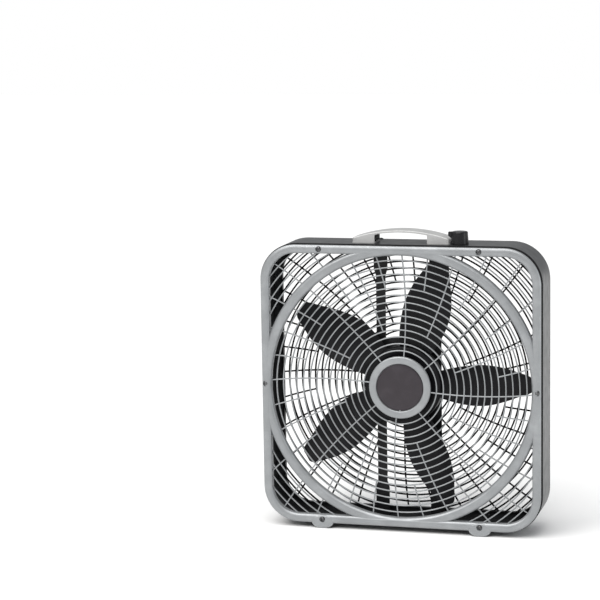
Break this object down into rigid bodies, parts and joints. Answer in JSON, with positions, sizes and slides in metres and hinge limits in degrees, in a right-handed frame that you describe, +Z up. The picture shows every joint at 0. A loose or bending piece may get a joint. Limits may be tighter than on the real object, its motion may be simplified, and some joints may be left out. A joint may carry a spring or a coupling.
{
  "type": "box fan",
  "caption": "Square box fan with round-cornered steel housing, silver ribbed front grille, black paddle blades, top carry handle and speed knob.",
  "frame": {"origin": "on the standing surface under the middle of the fan, centre of the overall box's underside", "axes": "+Z up, -Y out of the front grille that the air leaves by, +X to the right as seen from the front"},
  "size_m": [0.527, 0.108, 0.5595],
  "materials": {
    "shell_paint": "satin charcoal enamel on sheet steel",
    "front_grille_silver": "satin silver-grey moulding with a slight metallic flake",
    "badge_charcoal": "dark taupe-charcoal, smooth",
    "rear_grille_black": "black moulding, light texture",
    "screw_zinc": "zinc plated steel",
    "screw_black": "black oxide steel",
    "strap_black": "black enamel on strip steel",
    "motor_steel": "pressed steel, grey-black finish",
    "lamination_steel": "stacked electrical steel",
    "copper_enamel": "enamelled copper wire",
    "bearing_bronze": "sintered bronze",
    "handle_silver": "light silver-grey moulding, satin",
    "switch_phenolic": "brown-black phenolic",
    "lead_pvc": "black PVC sleeve",
    "clip_nylon": "natural nylon",
    "grommet_rubber": "black rubber",
    "blade_black": "black moulding, semi-gloss",
    "shaft_steel": "ground steel",
    "cage_aluminium": "die cast aluminium",
    "knob_black": "black, fine texture"
  },
  "bodies": {
    "housing": {"housing_shell": "shell_paint", "front_grille": "front_grille_silver", "hub_badge": "badge_charcoal", "rear_grille": "rear_grille_black", "front_grille_screws": "screw_zinc", "rear_grille_screws": "screw_black", "motor_strap_left": "strap_black", "motor_strap_right": "strap_black", "strap_screws": "screw_black", "motor_front_bell": "motor_steel", "motor_rear_bell": "motor_steel", "motor_stator": "lamination_steel", "motor_windings": "copper_enamel", "front_bearing": "bearing_bronze", "rear_bearing": "bearing_bronze", "motor_through_bolts": "screw_zinc", "motor_mount_screws": "screw_zinc", "motor_mount_nuts": "screw_zinc", "carry_handle": "handle_silver", "handle_screws": "screw_zinc", "switch_body": "switch_phenolic", "switch_nut": "screw_zinc", "motor_leads": "lead_pvc", "lead_clips": "clip_nylon", "cord_grommet": "grommet_rubber"},
    "rotor": {"fan_blade": "blade_black", "motor_shaft": "shaft_steel", "rotor_core": "lamination_steel", "rotor_cage": "cage_aluminium", "thrust_washers": "clip_nylon", "blade_washer": "screw_zinc", "blade_nut": "shaft_steel"},
    "knob": {"speed_knob": "knob_black", "switch_shaft": "shaft_steel"}
  },
  "joints": [
    {"name": "blade_spin", "type": "hinge", "parent": "housing", "child": "rotor", "pos_m": [0, 0, 0.2715], "axis": [0, 1, 0], "continuous": true},
    {"name": "speed_turn", "type": "hinge", "parent": "housing", "child": "knob", "pos_m": [0.108, -0.017, 0.535], "axis": [0, 0, -1], "range_deg": [0, 135]}
  ]
}
